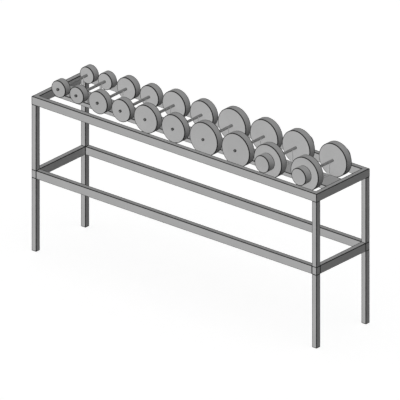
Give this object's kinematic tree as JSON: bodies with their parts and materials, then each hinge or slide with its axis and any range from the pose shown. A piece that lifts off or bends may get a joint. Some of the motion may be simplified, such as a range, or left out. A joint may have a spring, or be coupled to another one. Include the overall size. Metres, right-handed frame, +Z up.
{
  "type": "dumbbell rack",
  "caption": "Open steel floor rack with a saddle deck along its top, holding a graded row of round-plate dumbbells that lift off.",
  "frame": {"origin": "on the floor, under the middle of the rack", "axes": "+X along the rack towards the heaviest dumbbell, +Y towards the rear, +Z up"},
  "size_m": [2, 0.445, 1.0545],
  "materials": {
    "frame_paint": "satin grey powder coat",
    "saddle_paint": "satin grey powder coat",
    "bare_steel": "mill finish",
    "screw_steel": "zinc plated",
    "foot_plastic": "moulded grey plastic",
    "bar_steel": "turned steel with a knurled grip",
    "plate_iron": "grey enamelled cast iron"
  },
  "bodies": {
    "rack": {"upper_front_rail": "frame_paint", "upper_back_rail": "frame_paint", "upper_left_rail": "frame_paint", "upper_right_rail": "frame_paint", "lower_front_rail": "frame_paint", "lower_back_rail": "frame_paint", "lower_left_rail": "frame_paint", "lower_right_rail": "frame_paint", "front_left_upper_leg": "frame_paint", "front_right_upper_leg": "frame_paint", "back_left_upper_leg": "frame_paint", "back_right_upper_leg": "frame_paint", "front_left_corner_block": "frame_paint", "front_right_corner_block": "frame_paint", "back_left_corner_block": "frame_paint", "back_right_corner_block": "frame_paint", "front_left_lower_leg": "frame_paint", "front_right_lower_leg": "frame_paint", "back_left_lower_leg": "frame_paint", "back_right_lower_leg": "frame_paint", "leg_plugs": "bare_steel", "leg_sleeves": "bare_steel", "foot_plugs": "foot_plastic", "leg_set_screws": "screw_steel", "deck": "frame_paint", "deck_stubs": "bare_steel", "deck_screws": "screw_steel", "saddles": "saddle_paint", "saddle_screws": "screw_steel"},
    "dumbbell_1": {"handle_1": "bar_steel", "plates_1": "plate_iron"},
    "dumbbell_2": {"handle_2": "bar_steel", "plates_2": "plate_iron"},
    "dumbbell_3": {"handle_3": "bar_steel", "plates_3": "plate_iron"},
    "dumbbell_4": {"handle_4": "bar_steel", "plates_4": "plate_iron"},
    "dumbbell_5": {"handle_5": "bar_steel", "plates_5": "plate_iron"},
    "dumbbell_6": {"handle_6": "bar_steel", "plates_6": "plate_iron"},
    "dumbbell_7": {"handle_7": "bar_steel", "plates_7": "plate_iron"},
    "dumbbell_8": {"handle_8": "bar_steel", "plates_8": "plate_iron"},
    "dumbbell_9": {"handle_9": "bar_steel", "plates_9": "plate_iron", "end_discs_9": "plate_iron"},
    "dumbbell_10": {"handle_10": "bar_steel", "plates_10": "plate_iron", "end_discs_10": "plate_iron"}
  },
  "joints": [
    {"name": "lift_1", "type": "slide", "parent": "rack", "child": "dumbbell_1", "axis": [0, 0, 1], "range_m": [0, 0.25]},
    {"name": "lift_2", "type": "slide", "parent": "rack", "child": "dumbbell_2", "axis": [0, 0, 1], "range_m": [0, 0.25]},
    {"name": "lift_3", "type": "slide", "parent": "rack", "child": "dumbbell_3", "axis": [0, 0, 1], "range_m": [0, 0.25]},
    {"name": "lift_4", "type": "slide", "parent": "rack", "child": "dumbbell_4", "axis": [0, 0, 1], "range_m": [0, 0.25]},
    {"name": "lift_5", "type": "slide", "parent": "rack", "child": "dumbbell_5", "axis": [0, 0, 1], "range_m": [0, 0.25]},
    {"name": "lift_6", "type": "slide", "parent": "rack", "child": "dumbbell_6", "axis": [0, 0, 1], "range_m": [0, 0.25]},
    {"name": "lift_7", "type": "slide", "parent": "rack", "child": "dumbbell_7", "axis": [0, 0, 1], "range_m": [0, 0.25]},
    {"name": "lift_8", "type": "slide", "parent": "rack", "child": "dumbbell_8", "axis": [0, 0, 1], "range_m": [0, 0.25]},
    {"name": "lift_9", "type": "slide", "parent": "rack", "child": "dumbbell_9", "axis": [0, 0, 1], "range_m": [0, 0.25]},
    {"name": "lift_10", "type": "slide", "parent": "rack", "child": "dumbbell_10", "axis": [0, 0, 1], "range_m": [0, 0.25]}
  ]
}
